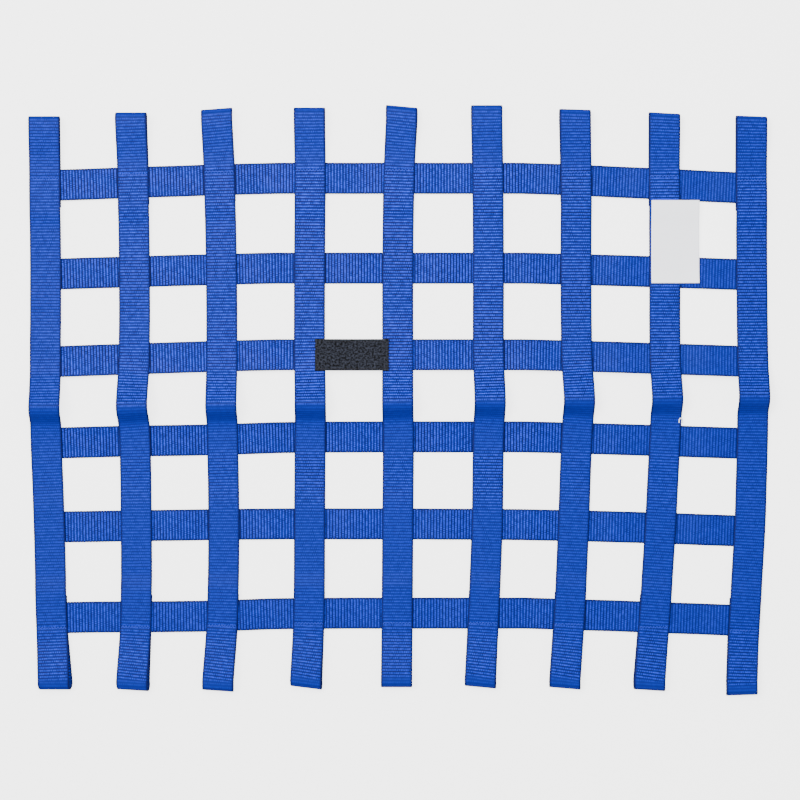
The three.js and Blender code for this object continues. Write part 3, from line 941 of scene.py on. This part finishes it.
def white_label_height(x, y):
    """The top of the strap under it, and a curl that grows with the distance out from the
    strap to the power of 1.5, times the square of the share of the way down. The lower edge
    flares up by a smooth step besides."""
    middle = (WHITE_LABEL["top"] + WHITE_LABEL["bottom"]) / 2
    strap_right = course_x(WHITE_LABEL_STRAP, middle) + HALF_WIDTH
    out = np.clip((x - strap_right) / (WHITE_LABEL["right"] - strap_right), 0, 1)
    down = (WHITE_LABEL["top"] - y) / (WHITE_LABEL["top"] - WHITE_LABEL["bottom"])
    flare = 1 - smooth_step((y - WHITE_LABEL["bottom"]) / FLARE_REACH)
    curl = LABEL_CURL * out**1.5 * down**2 + LABEL_FLARE * flare
    return ridge_lift(x, y) + upright_underside(WHITE_LABEL_STRAP, y) + LABEL_LIFT + curl


black_label = make_label("woven_label", BLACK_LABEL, black_label_height, black_label_material())
white_label = make_label("satin_label", WHITE_LABEL, white_label_height, white_label_material())
print(black_label.name, white_label.name)

# %% [markdown]
# ## The stitches
# A lockstitch shows as a row of short threads, each diving into a hole at both ends. One
# stitch is a small tube of a few dozen faces, bent into a low arch. A whole seam is that
# tube placed at every step of the seam, and all seams of one thread are a single mesh.

# %% Stitch builder
THREAD = 0.55 * MM
STITCH_PITCH = 2.6 * MM
STITCH_SHARE = 0.8  # of the pitch, so that a dark hole is left between two stitches
STITCH_SIDES = 6
STITCH_RINGS = 5
STITCH_TIP = 0.35  # of the thread's radius
STITCH_ROUNDNESS = 0.6  # the power of the half sine that its radius follows
STITCH_ARCH = 0.4  # of the thread's width
STITCH_SUNK = 0.6  # the share of the arch that lies below the seam's height
TWIST_SCALE = 900  # of a wave, which is one turn every 0.7 mm
BACK_STITCH_HEIGHT = 0.8 * THREAD  # of its middle, where the tail lies on the ground


def stitch_shape(length):
    """A tube along X whose middle line is a half sine and whose radius is that of the
    thread, narrowing to a third at both ends."""
    t = np.linspace(0, 1, STITCH_RINGS)
    angle = np.arange(STITCH_SIDES) * 2 * np.pi / STITCH_SIDES
    hump = np.sin(np.pi * t)[:, None]
    radius = THREAD / 2 * (STITCH_TIP + (1 - STITCH_TIP) * hump**STITCH_ROUNDNESS)
    x = np.broadcast_to((length * (t - 0.5))[:, None], (STITCH_RINGS, STITCH_SIDES))
    y = radius * np.cos(angle)
    z = radius * np.sin(angle) + STITCH_ARCH * THREAD * (hump - STITCH_SUNK)
    return np.stack([x, y, z], -1).reshape(-1, 3)


def make_stitches(name, places, ways, ups, material, length):
    """Every stitch is the same tube, turned so that X follows its way and Z its up."""
    shape = stitch_shape(length)
    ways, ups = unit(np.asarray(ways, float)), unit(np.asarray(ups, float))
    sides = np.cross(ups, ways)
    points = (
        np.asarray(places)[:, None]
        + ways[:, None] * shape[:, :1]
        + sides[:, None] * shape[:, 1:2]
        + ups[:, None] * shape[:, 2:]
    )
    one = tube_faces(STITCH_RINGS, STITCH_SIDES)
    starts = len(shape) * np.arange(len(places))
    faces = [[corner + start for corner in face] for start in starts.tolist() for face in one]
    return add_piece(name, points, faces, material)


def thread_material(name, colour, painted_glow=0):
    """Twisted polyester thread: fine slanting lines and a slight gloss. White thread is given a
    painted glow that brightens it."""
    made, tree, output = new_material(name)
    place = add_node(tree, "ShaderNodeTexCoord").outputs["Object"]
    twist = add_node(
        tree,
        "ShaderNodeTexWave",
        {"Vector": place, "Scale": TWIST_SCALE, "Distortion": 1.5},
        bands_direction="DIAGONAL",
    )
    tone = add_node(
        tree, "ShaderNodeMapRange", {"Value": twist.outputs["Fac"], "To Min": 0.8, "To Max": 1.1}
    )
    shaded = add_node(
        tree,
        "ShaderNodeVectorMath",
        {0: linear(colour)[:3], "Scale": tone.outputs["Result"]},
        operation="SCALE",
    )
    relief = add_node(
        tree,
        "ShaderNodeBump",
        {"Height": twist.outputs["Fac"], "Distance": 0.05 * MM, "Strength": 0.6},
    )
    yarn = add_node(
        tree,
        "ShaderNodeBsdfPrincipled",
        {
            "Base Color": shaded.outputs[0],
            "Roughness": 0.5,
            "IOR": 1.57,
            # A painted glow, on white thread only
            "Emission Color": linear(PAINTED_GLOW_WHITE),
            "Emission Strength": painted_glow,
            "Normal": relief.outputs["Normal"],
        },
    )
    tree.links.new(yarn.outputs["BSDF"], output.inputs["Surface"])
    return made


# %% Sew the straps
ZIGZAG_RISE = 2.1 * MM
ZIGZAG_STITCH = np.hypot(STITCH_PITCH / 2, ZIGZAG_RISE)


def across_upright(strap, y, height, up):
    """A zigzag across an upright strap at a Y, as places, ways and ups: two stitches to
    each pitch, which slant up and down by turns."""
    count = 2 * int((WEB_WIDTH - 2 * MM) / STITCH_PITCH)
    out = (np.arange(count) - (count - 1) / 2) * STITCH_PITCH / 2
    places = np.column_stack(
        [course_x(strap, y) + out + OFFSET_X, np.full(count, y + OFFSET_Y), np.full(count, height)]
    )
    slant = ZIGZAG_RISE * (-1.0) ** np.arange(count)
    ways = np.column_stack([np.full(count, STITCH_PITCH / 2), slant, np.zeros(count)])
    return places, ways, np.tile((0, 0, up), (count, 1))


def upright_seams():
    """The row over each upright strap's first and last crossing, on its face and behind."""
    seams = []
    for strap in STRAPS:
        for way in (1, -1):
            y = seam_y(strap, way)
            seams.append(across_upright(strap, y, face_height(strap, y) + WEB_THICK, 1))
            seams.append(across_upright(strap, y, BACK_STITCH_HEIGHT, -1))
    return [np.concatenate(columns) for columns in zip(*seams)]


BLUE_THREAD = thread_material("blue_thread", "#1c3fe0")
strap_stitches = make_stitches("strap_stitches", *upright_seams(), BLUE_THREAD, ZIGZAG_STITCH)
print(f"{len(strap_stitches.data.polygons)} faces of blue thread")


# %% Sew the labels
LABEL_SEAM_INSET = 1.6 * MM
LABEL_STITCH = 2.2 * MM
SLOPE_STEP = 0.5 * MM  # how far either way of a stitch the slope is read


def label_seam(edges, height, sides):
    """Stitches along the named sides of a label, a little inside its edge."""
    inset = LABEL_SEAM_INSET
    left, right = edges["left"] + inset, edges["right"] - inset
    bottom, top = edges["bottom"] + inset, edges["top"] - inset
    ends = {
        "left": ((left, bottom), (left, top)),
        "right": ((right, bottom), (right, top)),
        "bottom": ((left, bottom), (right, bottom)),
        "top": ((left, top), (right, top)),
    }
    seams = []
    for side in sides:
        start, end = np.array(ends[side])
        count = int(np.linalg.norm(end - start) / LABEL_STITCH)
        t = (np.arange(count) + 0.5) / count
        x, y = start[0] + (end[0] - start[0]) * t, start[1] + (end[1] - start[1]) * t
        way = unit(end - start)
        step_x, step_y = SLOPE_STEP * way
        rise = height(x + step_x, y + step_y) - height(x - step_x, y - step_y)
        ways = unit(np.column_stack([0 * x + way[0], 0 * x + way[1], rise / (2 * SLOPE_STEP)]))
        ups = np.cross(np.tile((way[1], -way[0], 0), (count, 1)), ways)
        places = np.column_stack([x + OFFSET_X, y + OFFSET_Y, height(x, y) + LABEL_THICK])
        seams.append((places, ways, ups))
    return [np.concatenate(columns) for columns in zip(*seams)]


BLACK_THREAD = thread_material("black_thread", "#1a1b20")
WHITE_THREAD = thread_material("white_thread", "#f1f2f6", painted_glow=0.9)
black_seam = label_seam(BLACK_LABEL, black_label_height, ("left", "right", "top", "bottom"))
white_seam = label_seam(WHITE_LABEL, white_label_height, ("left",))
LABEL_STITCH_LENGTH = LABEL_STITCH * STITCH_SHARE
black_stitches = make_stitches(
    "black_label_stitches", *black_seam, BLACK_THREAD, LABEL_STITCH_LENGTH
)
white_stitches = make_stitches(
    "white_label_stitches", *white_seam, WHITE_THREAD, LABEL_STITCH_LENGTH
)
print(f"{len(black_seam[0])} black and {len(white_seam[0])} white label stitches")

# %% [markdown]
# ## The loose end of thread
# One end of white thread was left sticking out beside the eighth upright strap. It is a thin
# tube along a short hook, lying on the strap's edge.

# %% Thread end
HOOK_MIDDLE = MM * np.array([230.4, -17.2])
HOOK_WIDTH = 1.45 * MM
HOOK_RISE = 2.6 * MM
HOOK_THREAD = 0.85 * MM
HOOK_PAST = 0.15  # how far the thread goes on past both ends of the U, as a share of it
HOOK_FALL = 0.9 * MM  # from the strap's face to its edge
HOOK_RINGS = 15
HOOK_SIDES = 6


def make_thread_end():
    """A tube along an upside-down U: a cosine across and a sine up the net."""
    t = np.linspace(-HOOK_PAST, 1 + HOOK_PAST, HOOK_RINGS)
    x = HOOK_MIDDLE[0] - HOOK_WIDTH * np.cos(np.pi * t)
    y = HOOK_MIDDLE[1] + HOOK_RISE * np.sin(np.pi * t)
    face = face_height(WHITE_LABEL_STRAP, y) + WEB_THICK
    z = face + 0.7 * HOOK_THREAD - HOOK_FALL * smooth_step(t)
    path = np.column_stack([x + OFFSET_X, y + OFFSET_Y, z])
    along = unit(np.gradient(path, axis=0))
    side = unit(np.cross(along, (0, 0, 1)))
    up = np.cross(side, along)
    angle = np.arange(HOOK_SIDES) * 2 * np.pi / HOOK_SIDES
    ring = side[:, None] * np.cos(angle)[:, None] + up[:, None] * np.sin(angle)[:, None]
    points = path[:, None] + HOOK_THREAD / 2 * ring
    return add_piece("thread_end", points, tube_faces(HOOK_RINGS, HOOK_SIDES), WHITE_THREAD)


thread_end = make_thread_end()
print(thread_end.name)

# %% [markdown]
# ## The ground
# The net is shown on plain white ground. It is a little below the cloth, so that the two
# surfaces never fight for the same place.

# %% Ground
FLOOR_HALF = 10.0  # so that no view shows where it ends
FLOOR_DROP = 0.2 * MM
FLOOR_GLOW = 3.0


def make_floor():
    """A square of plain matt white."""
    made, tree, output = new_material("white_ground")
    paint = add_node(
        tree,
        "ShaderNodeBsdfPrincipled",
        {
            "Base Color": linear("#fbfbfb"),
            "Roughness": 0.9,
            "Emission Color": WHITE,
            "Emission Strength": FLOOR_GLOW,
        },
    )
    tree.links.new(paint.outputs["BSDF"], output.inputs["Surface"])
    corners = [(x, y, -FLOOR_DROP) for x, y in ((-1, -1), (1, -1), (1, 1), (-1, 1))]
    points = np.array(corners) * (FLOOR_HALF, FLOOR_HALF, 1)
    return add_piece("ground", points, [[0, 1, 2, 3]], made, smooth=False)


floor = make_floor()
floor.visible_diffuse = False
floor.visible_glossy = False
print(f"ground {2 * FLOOR_HALF:.0f} m wide")

# %% [markdown]
# ## Fastening the cloth to the solids
# Each new piece stands for a solid, which is then hidden.

# %% Ride and replace
for strap, (piece, length) in enumerate(uprights):
    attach(piece, "root")
    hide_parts(f"upright_{strap + 1}")
for row, (piece, length) in enumerate(crosses):
    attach(piece, "root")
    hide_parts(f"cross_{row + 1}")


def fasten_label(piece, node, stitches):
    """Attaches a label and its stitches to the root, and hides the label's solid."""
    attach(piece, "root")
    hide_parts(node)
    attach(stitches, "root")


fasten_label(black_label, "label_black", black_stitches)
fasten_label(white_label, "label_white", white_stitches)
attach(strap_stitches, "root")
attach(thread_end, "root")
